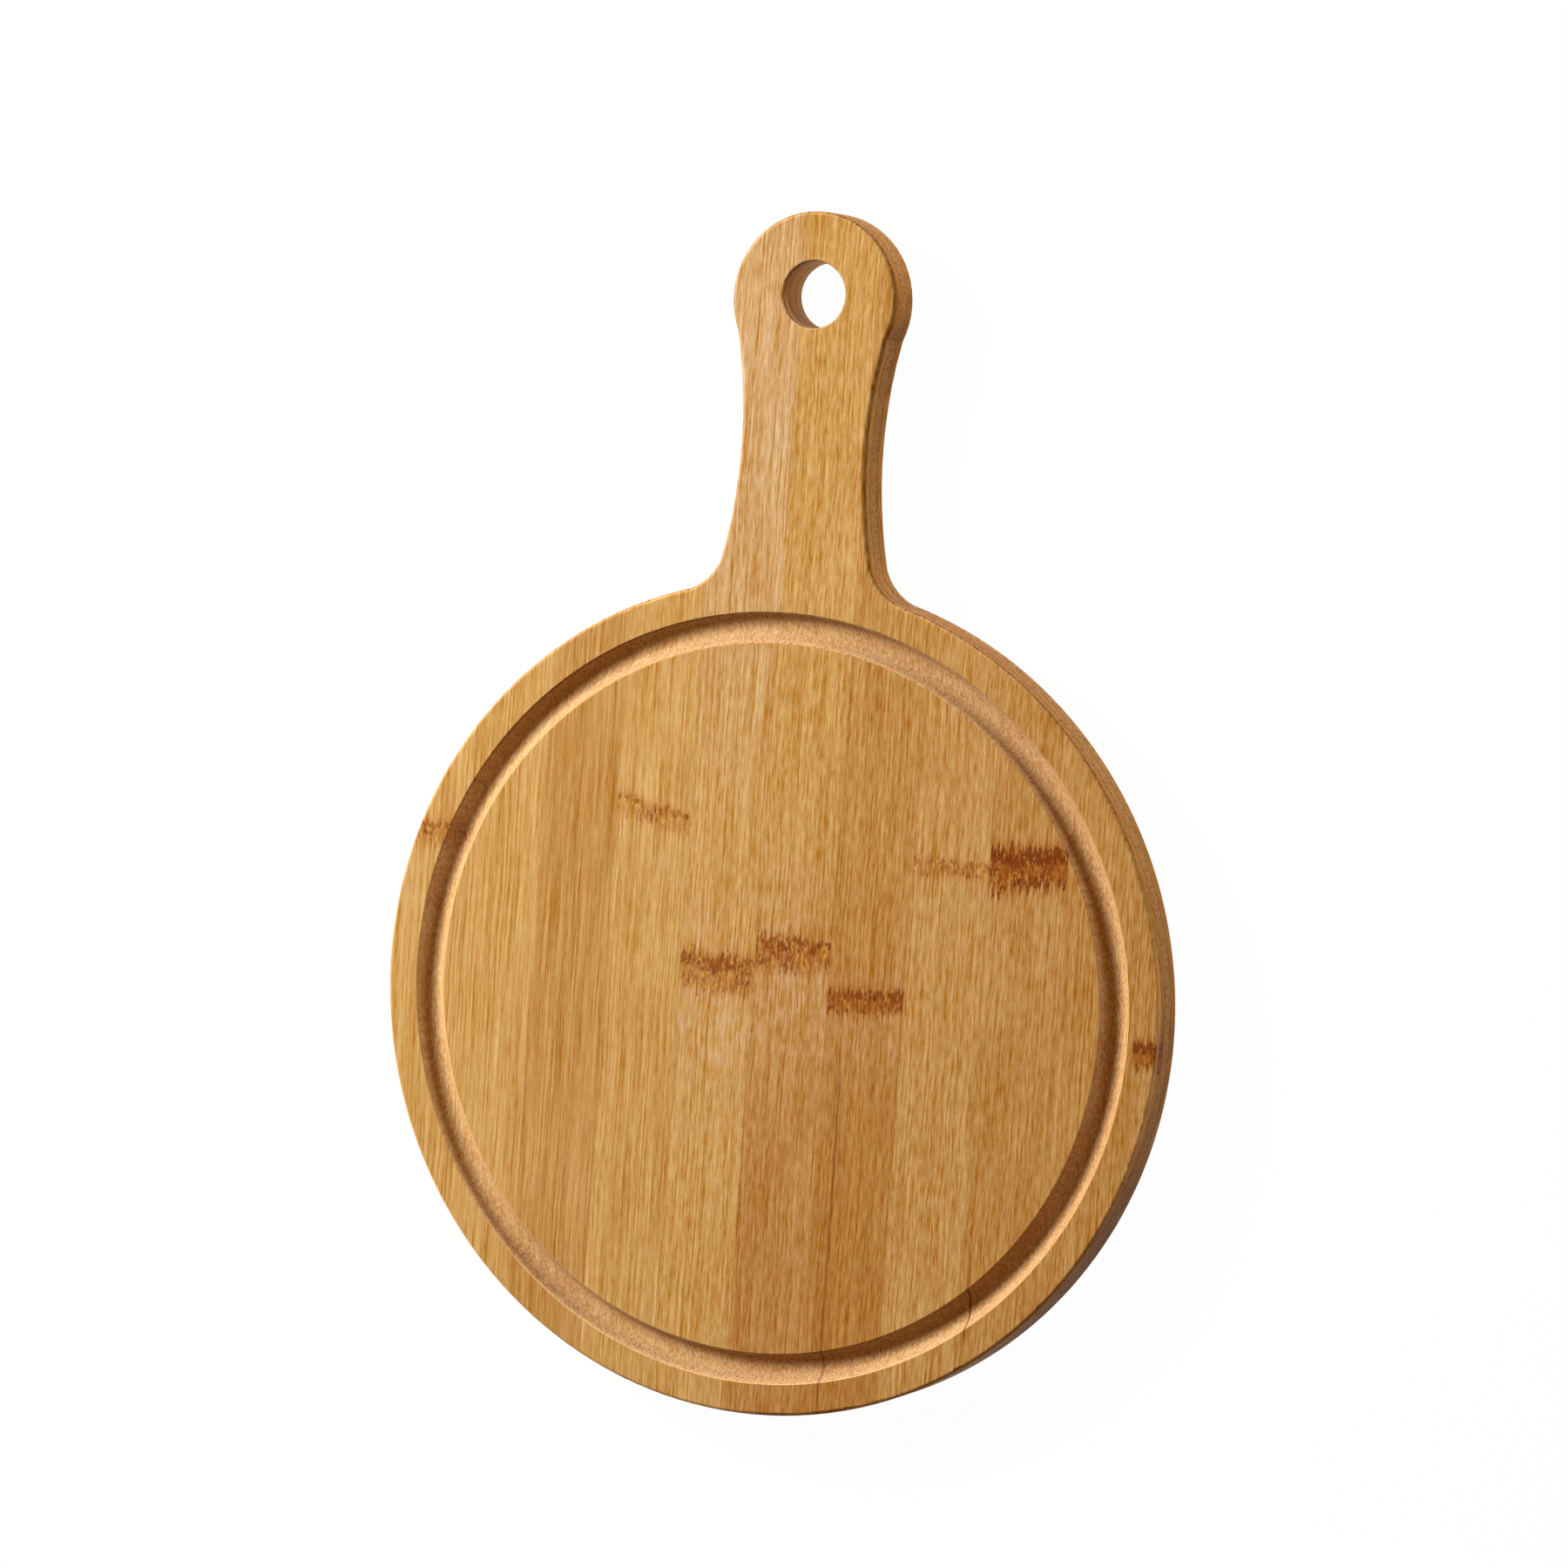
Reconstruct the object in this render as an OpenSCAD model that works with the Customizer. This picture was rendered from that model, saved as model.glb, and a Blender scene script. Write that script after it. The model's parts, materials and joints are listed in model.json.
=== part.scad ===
// Round bamboo cutting board with a juice groove and a waisted handle with a hanging hole.
// It is sawn from a glued panel of three plies: strips along the handle on the face and the back,
// and strips across the handle in the core. Each strip is a solid of its own, glued edge to edge.
// Origin: centre of the disc on the underside. +Y runs along the handle, +Z out of the cutting face.

/* [Disc] */
// Diameter of the round cutting area with its rim
disc_d = 230; // [200:1:300]
// Radius of the rounding along the whole outline, on the face and on the back
edge_r = 1; // [0.5:0.1:2.6]

/* [Plies] */
// Thickness of the face ply, whose strips run along the handle
face_ply_t = 4.6; // [4:0.1:8]
// Thickness of the core ply, whose strips run across the handle
core_ply_t = 4.6; // [3:0.1:8]
// Thickness of the back ply, whose strips run along the handle
back_ply_t = 4.6; // [4:0.1:8]
// Width of one strip
strip_w = 22.3; // [16:0.1:30]
// How far the back ply's joints are set over from those of the face ply
back_stagger = 11.2; // [4:0.1:18]
// An offcut slimmer than this at the panel's edge stays on its neighbour
least_strip_w = 4; // [1:0.1:8]
// Beside the neck, a feather edge slimmer than this stays on the strip within
feather_w = 0.7; // [0.5:0.1:1.5]

/* [Juice groove] */
// Distance from the disc's rim to the groove's centre line
groove_inset = 12.9; // [8:0.1:30]
// Radius of the groove's round bottom
groove_r = 4; // [2.5:0.1:5]
// Depth of the groove below the cutting face
groove_depth = 3.2; // [1.5:0.1:3.8]
// How far the easing of the lips widens the groove on each side
groove_ease = 0.4; // [0.2:0.1:1]

/* [Handle] */
// Distance from the disc's rim to the centre of the handle's round head
head_reach = 77.2; // [60:0.1:110]
// Diameter of the head
head_d = 48; // [42:0.1:60]
// Distance from the disc's rim to the narrowest place of the neck
waist_reach = 36.7; // [30:0.1:44]
// Width of the neck at its narrowest place
waist_w = 37; // [28:0.1:42]
// Radius of the shoulders between the disc and the neck
shoulder_r = 15.8; // [8:0.1:24]
// How far the neck's hollow sides run into the head's circle, which leaves a slight corner there
nape_bite = 0.4; // [0.1:0.05:0.8]
// How far the shoulders' arcs run into the disc's circle and the neck's sides
shoulder_bite = 0.15; // [0.05:0.05:0.4]

/* [Hanging hole] */
// Diameter of the hole
hole_d = 18.4; // [10:0.1:26]
// How far the hole's centre lies beyond the head's centre, towards the tip
hole_lead = 1.3; // [-3:0.1:3]
// Radius of the easing at both mouths of the hole
hole_ease_r = 0.5; // [0.2:0.1:1.5]

/* [Hidden] */
$fn = 360;

disc_r = disc_d / 2;
head_r = head_d / 2;
hole_r = hole_d / 2;

// Heights at which the plies meet, and of the cutting face
core_z = back_ply_t;
face_z = core_z + core_ply_t;
board_t = face_z + face_ply_t;

// Places along the handle
disc_c = [0, 0];
head_c = [0, disc_r + head_reach];
hole_c = [0, head_c.y + hole_lead];
waist_y = disc_r + waist_reach;
tip_y = head_c.y + head_r;

// Each of the neck's hollow sides is one arc, which passes the waist and runs into the head's circle
waist_half = waist_w / 2;
waist_rise = head_c.y - waist_y;
nape_r = head_r - nape_bite;
waist_r = (waist_half ^ 2 + waist_rise ^ 2 - nape_r ^ 2) / (2 * (nape_r - waist_half));
waist_c = [waist_half + waist_r, waist_y];

// A shoulder's arc lies outside the disc's circle and inside that of the neck's hollow side
shoulder_c = crossing(
    disc_c, disc_r + shoulder_r - shoulder_bite,
    waist_c, waist_r - shoulder_r + shoulder_bite
);

// Corners of the neck's blank on the right, on lines square to the outline
disc_corner = along(disc_c, shoulder_c, disc_r);
neck_corner = along(waist_c, shoulder_c, waist_r + shoulder_bite);
head_corner = along(head_c, waist_c, head_r);

// Where the line square to the outline at the neck's corner meets the centre line
neck_slope = (waist_c.y - neck_corner.y) / (waist_c.x - neck_corner.x);
neck_c = [0, waist_c.y - waist_c.x * neck_slope];

// Groove in cross section: height of the round bottom's centre, half widths at the cutting face
// without and with the lips' easing, and the depth down to which the easing's cutter goes
groove_mid_r = disc_r - groove_inset;
groove_z = board_t - groove_depth + groove_r;
groove_half = sqrt(groove_r ^ 2 - (groove_z - board_t) ^ 2);
lip_half = groove_half + groove_ease;
ease_depth = 2 * groove_ease;

// Stock by which a cutter or an outer strip's blank passes the surface that it meets
spare = 1;

// Edges of the strips in each ply, counted from the left rim or from the rim below
face_count = ceil((disc_d - least_strip_w) / strip_w);
back_count = 1 + ceil((disc_d - back_stagger - least_strip_w) / strip_w);
core_count = ceil((disc_r + tip_y - least_strip_w) / strip_w);
face_edges = [
    -disc_r - spare,
    for (i = [1:face_count - 1]) i * strip_w - disc_r,
    disc_r + spare,
];
back_edges = [
    -disc_r - spare,
    for (i = [1:back_count - 1]) back_stagger + (i - 1) * strip_w - disc_r,
    disc_r + spare,
];
core_edges = [
    -disc_r - spare,
    for (i = [1:core_count - 1]) i * strip_w - disc_r,
    tip_y + spare,
];

// A long strip's side nearest to the centre line
function inner_x(edges, i) = max(edges[i - 1], -edges[i]);

// A long strip that runs off beside the neck, and one of these that meets the head again
function runs_off(edges, i) =
    i > 0 && i < len(edges) && inner_x(edges, i) + feather_w > waist_half && inner_x(edges, i) < head_r;
function parted(edges, i) = runs_off(edges, i) && inner_x(edges, i) + feather_w < head_r;

// How far from the waist such a strip ends, where it is as wide as a feather edge
function feather_reach(x) = sqrt(waist_r ^ 2 - (waist_c.x - x - feather_w) ^ 2);
function low_end(edges, i) = waist_y - feather_reach(inner_x(edges, i));
function high_end(edges, i) =
    parted(edges, i) ? waist_y + feather_reach(inner_x(edges, i)) : tip_y + spare;

// Outline of a blank between two opposite corners
function plank(low, high) = [low, [high.x, low.y], high, [low.x, high.y]];

// Step in a blank's side where it takes in the feather edge of a neighbour that runs off there
function step(edges, neighbour, x, out) = !runs_off(edges, neighbour) ? [] : [
    [x, low_end(edges, neighbour)],
    [x + out, low_end(edges, neighbour)],
    [x + out, high_end(edges, neighbour)],
    [x, high_end(edges, neighbour)],
];

// Outline of a long strip's blank, anticlockwise from its left corner below
function long_blank(edges, i) =
    let (
        left = edges[i - 1],
        right = edges[i],
        low_y = -disc_r - spare,
        high_y = tip_y + spare,
        right_step = right > 0 ? step(edges, i + 1, right, feather_w) : [],
        left_step = left < 0 ? step(edges, i - 1, left, -feather_w) : []
    )
    runs_off(edges, i) ? plank([left, low_y], [right, low_end(edges, i)]) : [
        [left, low_y],
        [right, low_y],
        each right_step,
        [right, high_y],
        [left, high_y],
        each [for (k = [len(left_step) - 1:-1:0]) left_step[k]],
    ];

function strip_name(ply, i) = str(ply, "_strip_", i < 10 ? "0" : "", i);
function head_piece_name(ply, i) = str(strip_name(ply, i), "_head_piece");

// Tones of pale steamed bamboo, and of the greyer ends of the core's strips
face_tones = ["#d2a763", "#cf9f58", "#d8ad6a", "#c99a54"];
core_tones = ["#a97f4d", "#b58a55"];
back_tones = ["#c7964f", "#bd8a45", "#cc9d58"];
function tone(tones, i) = tones[i % len(tones)];

// Point at a distance from one point in the direction of another
function along(from, to, distance) = from + (to - from) * distance / norm(to - from);

function mirrored(p) = [-p.x, p.y];

// Crossing of two circles, on the left of the line from the first centre to the second
function crossing(c1, r1, c2, r2) =
    let (
        span = norm(c2 - c1),
        ahead = (r1 ^ 2 - r2 ^ 2 + span ^ 2) / (2 * span),
        aside = sqrt(r1 ^ 2 - ahead ^ 2),
        dir = (c2 - c1) / span
    )
    c1 + ahead * dir + aside * [-dir.y, dir.x];

// Round slab with both edges of its rim rounded
module round_slab(centre, r) {
    translate(centre) rotate_extrude() {
        square([r - edge_r, board_t]);
        translate([0, edge_r]) square([r, board_t - 2 * edge_r]);
        for (z = [edge_r, board_t - edge_r]) {
            translate([r - edge_r, z]) circle(edge_r);
        }
    }
}

// Cutter that leaves a hollow wall of radius r with both of its edges rounded
module hollow_cutter(centre, r, ease_r) {
    translate(centre) rotate_extrude() {
        translate([0, -spare]) square([r, board_t + 2 * spare]);
        difference() {
            translate([0, board_t - ease_r]) square([r + ease_r, ease_r + spare]);
            translate([r + ease_r, board_t - ease_r]) circle(ease_r);
        }
        difference() {
            translate([0, -spare]) square([r + ease_r, ease_r + spare]);
            translate([r + ease_r, ease_r]) circle(ease_r);
        }
    }
}

// Stretch of the neck between two places on the centre line, with one pair of hollow walls
module neck_stage(low_c, low_corner, high_corner, high_c, hollow_c, hollow_r) {
    difference() {
        linear_extrude(board_t)
            polygon([
                low_c, low_corner, high_corner,
                high_c, mirrored(high_corner), mirrored(low_corner),
            ]);
        hollow_cutter(hollow_c, hollow_r, edge_r);
        hollow_cutter(mirrored(hollow_c), hollow_r, edge_r);
    }
}

module shoulders() {
    neck_stage(disc_c, disc_corner, neck_corner, neck_c, shoulder_c, shoulder_r);
}

module neck() {
    neck_stage(disc_c, shoulder_c, head_corner, head_c, waist_c, waist_r);
}

module groove_cutter() {
    rotate_extrude() translate([groove_mid_r, 0]) {
        translate([0, groove_z]) circle(groove_r);
        polygon([
            [ease_depth - lip_half, board_t - ease_depth],
            [lip_half - ease_depth, board_t - ease_depth],
            [lip_half + spare, board_t + spare],
            [-lip_half - spare, board_t + spare],
        ]);
    }
}

// What a strip's blank keeps of the board, with the blank given by its outline and two heights
module sawn(blank, low_z, high_z) {
    difference() {
        union() {
            for (k = [0:3]) intersection() {
                translate([0, 0, low_z]) linear_extrude(high_z - low_z) polygon(blank);
                if (k == 0) round_slab(disc_c, disc_r);
                if (k == 1) shoulders();
                if (k == 2) neck();
                if (k == 3) round_slab(head_c, head_r);
            }
        }
        groove_cutter();
        hollow_cutter(hole_c, hole_r, hole_ease_r);
    }
}

// What a parted strip leaves on the head
module head_piece(edges, i, low_z, high_z) {
    blank = plank([edges[i - 1], high_end(edges, i)], [edges[i], tip_y + spare]);
    sawn(blank, low_z, high_z);
}

module face_strip(i) {
    color(tone(face_tones, i)) sawn(long_blank(face_edges, i), face_z, board_t + spare);
}

module face_head_piece(i) {
    color(tone(face_tones, i)) head_piece(face_edges, i, face_z, board_t + spare);
}

module core_strip(i) {
    blank = plank([-disc_r - spare, core_edges[i - 1]], [disc_r + spare, core_edges[i]]);
    color(tone(core_tones, i)) sawn(blank, core_z, face_z);
}

module back_strip(i) {
    color(tone(back_tones, i)) sawn(long_blank(back_edges, i), -spare, core_z);
}

module back_head_piece(i) {
    color(tone(back_tones, i)) head_piece(back_edges, i, -spare, core_z);
}

for (i = [1:face_count]) {
    face_strip(i);
}
for (i = [1:face_count]) if (parted(face_edges, i)) {
    face_head_piece(i);
}
for (i = [1:core_count]) {
    core_strip(i);
}
for (i = [1:back_count]) {
    back_strip(i);
}
for (i = [1:back_count]) if (parted(back_edges, i)) {
    back_head_piece(i);
}
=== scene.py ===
"""Round bamboo cutting board: the CAD strips of its three plies, dressed as oiled flat-pressed bamboo.

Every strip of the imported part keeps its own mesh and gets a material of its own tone, because the real board
is glued from strips of different culms. Lengths are in millimetres here, and in metres in Blender.
"""

import json
import logging
import math
from dataclasses import dataclass, replace
from enum import Enum
from typing import Any

import bpy
import numpy as np
from mathutils import Matrix, Vector

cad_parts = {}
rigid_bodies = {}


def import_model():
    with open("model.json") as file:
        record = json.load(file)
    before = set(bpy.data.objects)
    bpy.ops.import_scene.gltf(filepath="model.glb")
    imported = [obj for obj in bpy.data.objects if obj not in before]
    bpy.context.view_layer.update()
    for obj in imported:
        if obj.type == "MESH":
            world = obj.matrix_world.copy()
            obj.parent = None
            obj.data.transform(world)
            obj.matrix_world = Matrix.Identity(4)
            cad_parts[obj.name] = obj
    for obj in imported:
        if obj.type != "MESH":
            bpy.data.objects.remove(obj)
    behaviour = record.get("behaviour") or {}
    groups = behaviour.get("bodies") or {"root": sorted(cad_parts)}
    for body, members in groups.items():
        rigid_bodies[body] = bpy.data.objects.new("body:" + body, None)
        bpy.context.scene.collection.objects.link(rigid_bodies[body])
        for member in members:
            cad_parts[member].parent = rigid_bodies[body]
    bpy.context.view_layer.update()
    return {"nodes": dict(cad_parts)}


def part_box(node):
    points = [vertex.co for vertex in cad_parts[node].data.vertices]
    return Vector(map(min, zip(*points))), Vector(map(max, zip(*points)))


LOG = logging.getLogger("cutting_board")
MM = 0.001
ENDLESS = math.inf

# Scale of a pattern whose place is already counted in its own cells, and how many finer layers its noise has
PER_CELL = 1.0
SOFT_NOISE, FINE_NOISE = 1.0, 2.0

RANGE_SOCKETS = ("Value", "From Min", "From Max", "To Min", "To Max")
NOISE_SOCKETS = ("Vector", "Scale", "Detail", "Roughness")
SHADER_SOCKETS = ("Base Color", "Roughness", "Normal", "IOR", "Specular IOR Level")
MIX_SOCKETS, MIX_COLOUR = (0, 6, 7), 2

Socket = bpy.types.NodeSocket
Colour = tuple[float, float, float, float]
Triple = tuple[float, float, float]
Pair = tuple[float, float]
Value = Socket | float | Triple | Colour


def linear(hex_colour: str) -> Colour:
    """Turns an sRGB hex colour into Blender's linear colour.

    Args:
        hex_colour: Colour such as "#cc9a54".

    Returns:
        Red, green, blue and alpha, with alpha 1.
    """
    srgb = np.array([int(hex_colour[i : i + 2], 16) for i in (1, 3, 5)]) / 255
    values = np.where(srgb <= 0.04045, srgb / 12.92, ((srgb + 0.055) / 1.055) ** 2.4)
    return (float(values[0]), float(values[1]), float(values[2]), 1.0)


class Kind(Enum):
    """Kinds of node: Blender's type, the sockets that take the values, the wanted output and the settings."""

    PLACE = ("ShaderNodeTexCoord", (), "Object")
    NORMAL = ("ShaderNodeNewGeometry", (), "Normal")
    RAYS = ("ShaderNodeLightPath", ())
    SPLIT = ("ShaderNodeSeparateXYZ", (0,))
    PLUS = ("ShaderNodeMath", (0, 1), 0, {"operation": "ADD"})
    MINUS = ("ShaderNodeMath", (0, 1), 0, {"operation": "SUBTRACT"})
    TIMES = ("ShaderNodeMath", (0, 1), 0, {"operation": "MULTIPLY"})
    TIMES_UP_TO_ONE = ("ShaderNodeMath", (0, 1), 0, {"operation": "MULTIPLY", "use_clamp": True})
    TIMES_PLUS = ("ShaderNodeMath", (0, 1, 2), 0, {"operation": "MULTIPLY_ADD"})
    DIVIDED = ("ShaderNodeMath", (0, 1), 0, {"operation": "DIVIDE"})
    LARGER = ("ShaderNodeMath", (0, 1), 0, {"operation": "MAXIMUM"})
    UNSIGNED = ("ShaderNodeMath", (0,), 0, {"operation": "ABSOLUTE"})
    MOVED = ("ShaderNodeVectorMath", (0, 1), 0, {"operation": "ADD"})
    STRETCHED = ("ShaderNodeVectorMath", (0, 1, 2), 0, {"operation": "MULTIPLY_ADD"})
    SCALED = ("ShaderNodeVectorMath", (0, "Scale"), 0, {"operation": "SCALE"})
    FACING = ("ShaderNodeVectorMath", (0,), 0, {"operation": "ABSOLUTE"})
    LENGTH = ("ShaderNodeVectorMath", (0,), "Value", {"operation": "LENGTH"})
    RAMP = ("ShaderNodeMapRange", RANGE_SOCKETS)
    FADE = ("ShaderNodeMapRange", RANGE_SOCKETS, 0, {"interpolation_type": "SMOOTHSTEP"})
    NOISE = ("ShaderNodeTexNoise", NOISE_SOCKETS)
    STREAKS = ("ShaderNodeTexNoise", NOISE_SOCKETS, 0, {"noise_dimensions": "2D"})
    DOTS = ("ShaderNodeTexVoronoi", ("Vector", "Scale"), "Distance")
    BLEND = ("ShaderNodeMix", MIX_SOCKETS, MIX_COLOUR, {"data_type": "RGBA"})
    TINT = ("ShaderNodeMix", MIX_SOCKETS, MIX_COLOUR, {"data_type": "RGBA", "blend_type": "MULTIPLY"})
    RELIEF = ("ShaderNodeBump", ("Height", "Strength", "Distance"))
    SATIN = ("ShaderNodeBsdfPrincipled", SHADER_SOCKETS)
    MATT = ("ShaderNodeBsdfDiffuse", ("Color",))
    GLOW = ("ShaderNodeEmission", ("Strength",))
    EITHER = ("ShaderNodeMixShader", (0, 1, 2))
    SKY = ("ShaderNodeBackground", ("Color", "Strength"))
    SURFACE = ("ShaderNodeOutputMaterial", ("Surface",))
    WORLD = ("ShaderNodeOutputWorld", ("Surface",))

    def __init__(self, node: str, sockets: tuple[int | str, ...], output: int | str = 0,
                 settings: dict[str, Any] | None = None) -> None:
        """Keeps the parts of the kind's value under their names.

        Args:
            node: Blender's type.
            sockets: Names or numbers of the inputs that take the values, in order.
            output: Name or number of the output that is wanted.
            settings: The node's own properties.
        """
        self.node = node
        self.sockets = sockets
        self.output = output
        self.settings = settings or {}


@dataclass(frozen=True)
class Graph:
    """Node tree of one material or of the world."""

    tree: bpy.types.NodeTree

    def add(self, kind: Kind, *values: Value) -> Socket:
        """Adds one node with its settings and links.

        Args:
            kind: The kind of node.
            *values: A socket to link to, or a value, for each of the kind's sockets or for the first of them.

        Returns:
            The kind's output, or the first input of a node that ends the tree.
        """
        node = self.tree.nodes.new(kind.node)
        for name, setting in kind.settings.items():
            setattr(node, name, setting)
        for key, value in zip(kind.sockets, values):
            if isinstance(value, Socket):
                self.tree.links.new(value, node.inputs[key])
            else:
                node.inputs[key].default_value = value
        return node.outputs[kind.output] if node.outputs else node.inputs[0]


class Tone(Enum):
    """Colours that the light fibres of steamed and oiled bamboo strips take."""

    STRAW = "#e8c698"
    HONEY = "#e4be7c"
    WHEAT = "#dfb778"
    AMBER = "#d9ae6d"
    CARAMEL = "#d4a466"
    TOFFEE = "#cf9d59"
    SMOKED = "#d0a56e"


class Grain(Enum):
    """Which way a strip's fibres run, as the letters of the axes across and along them."""

    ALONG_HANDLE = "XY"
    ACROSS_HANDLE = "YX"

    def triple(self, across: float, along: float, deep: float) -> Triple:
        """Puts three values for the strip's own directions in the order of the axes.

        Args:
            across: Value across the fibres.
            along: Value along the fibres.
            deep: Value through the ply.

        Returns:
            The values for X, Y and Z.
        """
        return (across, along, deep) if self is Grain.ALONG_HANDLE else (along, across, deep)


@dataclass(frozen=True)
class Spot:
    """What a shader reads of its place on a strip, in millimetres, and of the way the surface faces there.

    Attributes:
        graph: The material's nodes.
        grain: Which way the strip's fibres run.
        point: The place as a vector.
        across: Place across the fibres.
        along: Place along the fibres.
        deep: Height in the board.
        endways: How squarely the surface faces along the fibres, from 0 to 1.
        flat: How squarely it faces up or down, from 0 to 1.
    """

    graph: Graph
    grain: Grain
    point: Socket
    across: Socket
    along: Socket
    deep: Socket
    endways: Socket
    flat: Socket

    @classmethod
    def read(cls, graph: Graph, grain: Grain) -> "Spot":
        """Adds the nodes that read the place.

        Args:
            graph: The material's nodes.
            grain: Which way the strip's fibres run.

        Returns:
            The spot.
        """
        across_axis, along_axis = grain.value
        point = graph.add(Kind.SCALED, graph.add(Kind.PLACE), 1 / MM)
        at = graph.add(Kind.SPLIT, point).node.outputs
        facing = graph.add(Kind.SPLIT, graph.add(Kind.FACING, graph.add(Kind.NORMAL))).node.outputs
        place = (at[across_axis], at[along_axis], at["Z"])
        return cls(graph, grain, point, *place, facing[along_axis], facing["Z"])

    def cells(self, size_mm: Triple, apart: Triple = (0.0, 0.0, 0.0)) -> Socket:
        """Counts the cells of a pattern: the place divided by the size of a cell.

        Args:
            size_mm: A cell's size across the fibres, along them and through the ply, endless where it is even.
            apart: Step that moves the pattern, in cells.

        Returns:
            The place in cells.
        """
        across, along, deep = (1 / size for size in size_mm)
        return self.graph.add(Kind.STRETCHED, self.point, self.grain.triple(across, along, deep), apart)

    def radius(self, centre_y_mm: float = 0.0) -> Socket:
        """Measures the distance from an upright axis.

        Args:
            centre_y_mm: Place of the axis along the handle.

        Returns:
            The distance in millimetres.
        """
        away = self.graph.add(Kind.STRETCHED, self.point, (1.0, 1.0, 0.0), (0.0, -centre_y_mm, 0.0))
        return self.graph.add(Kind.LENGTH, away)

    def gap(self, value: Socket, line_mm: Value) -> Socket:
        """Measures how far a value is from a line, on either side of it.

        Args:
            value: Place in one direction.
            line_mm: Place of the line in that direction.

        Returns:
            The distance in millimetres.
        """
        return self.graph.add(Kind.UNSIGNED, self.graph.add(Kind.MINUS, value, line_mm))


@dataclass(frozen=True)
class Fibres:
    """Planed bamboo fibres: long streaks among short wavy flecks, drawn out along the grain.

    Real fibre bundles are about 0.3 mm wide. They are drawn twice as wide, so that they show in a render.

    Attributes:
        fibre_mm: Width of a streak or a fleck.
        long_mm: Length of a long streak.
        fleck_mm: Length of a short fleck.
        band_mm: Width and length of the broad bands of lighter and darker fibres.
        wave_mm: Size of the waves in which the fibres wander.
        stray_mm: How far they wander in a strip of long streaks, and how much further in one of flecks.
        layer_skew: How far the pattern moves aside for each millimetre of depth.
        apart: Step from one strip's pattern to the next one's, in cells.
        fibre_share: Share of the streaks and flecks in the pattern.
        band_share: Share of the broad bands in a strip of long streaks.
        layer_share: Strength of each finer layer of the noise.
        noise_range: Part of the noise that goes from dark to light.
        rust_range: Part of the noise that goes from yellow to rusty.
        sum_range: Part of the summed pattern that goes from dark to light.
        contrast: Half of the contrast in a strip of long streaks, and how much more it is in one of flecks.
    """

    fibre_mm: float = 0.62
    long_mm: float = 34.0
    fleck_mm: float = 4.8
    band_mm: Pair = (4.0, 102.0)
    wave_mm: Triple = (70.0, 40.0, 70.0)
    stray_mm: Pair = (0.3, 1.6)
    layer_skew: float = 0.8
    apart: Triple = (3.7, 5.3, 1.9)
    fibre_share: float = 0.9
    band_share: float = 0.3
    layer_share: float = 0.6
    noise_range: Pair = (0.25, 0.75)
    rust_range: Pair = (0.35, 0.65)
    sum_range: Pair = (0.05, 1.05)
    contrast: Pair = (0.5, 0.54)

    def draw(self, spot: Spot, fleck: float, seed: float) -> tuple[Socket, Socket]:
        """Draws the fibres, as noises stretched along the grain that wander a little across it.

        Args:
            spot: The place on the strip.
            fleck: Share of the flecks.
            seed: The strip's number.

        Returns:
            From 0 in a dark fibre to 1 in a light one, and from 0 in a yellow fibre to 1 in a rusty one.
        """
        graph = spot.graph
        apart = tuple(step * seed for step in self.apart)
        wander = graph.add(Kind.NOISE, spot.cells(self.wave_mm, apart), PER_CELL, FINE_NOISE)
        stray = self.stray_mm[0] + self.stray_mm[1] * fleck
        wander = graph.add(Kind.RAMP, wander, 0.0, 1.0, -stray, stray)
        wander = graph.add(Kind.TIMES_PLUS, spot.deep, self.layer_skew, wander)
        aside = graph.add(Kind.SCALED, spot.grain.triple(1.0, 0.0, 0.0), wander)
        strayed = replace(spot, point=graph.add(Kind.MOVED, spot.point, aside))
        pattern: Value = 0.0
        for share, width, length in (
            (self.band_share * (1 - fleck), *self.band_mm),
            (self.fibre_share * fleck, self.fibre_mm, self.fleck_mm),
            (self.fibre_share * (1 - fleck), self.fibre_mm, self.long_mm),
        ):
            cells = strayed.cells((width, length, width), apart)
            noise = graph.add(Kind.STREAKS, cells, PER_CELL, FINE_NOISE, self.layer_share).node.outputs
            streak = graph.add(Kind.RAMP, noise["Fac"], *self.noise_range)
            pattern = graph.add(Kind.TIMES_PLUS, streak, share, pattern)
        rusty = graph.add(Kind.SPLIT, noise["Color"]).node.outputs["Y"]
        rusty = graph.add(Kind.RAMP, rusty, *self.rust_range)
        half = self.contrast[0] + self.contrast[1] * fleck
        return graph.add(Kind.RAMP, pattern, *self.sum_range, 0.5 - half, 0.5 + half), rusty


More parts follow.
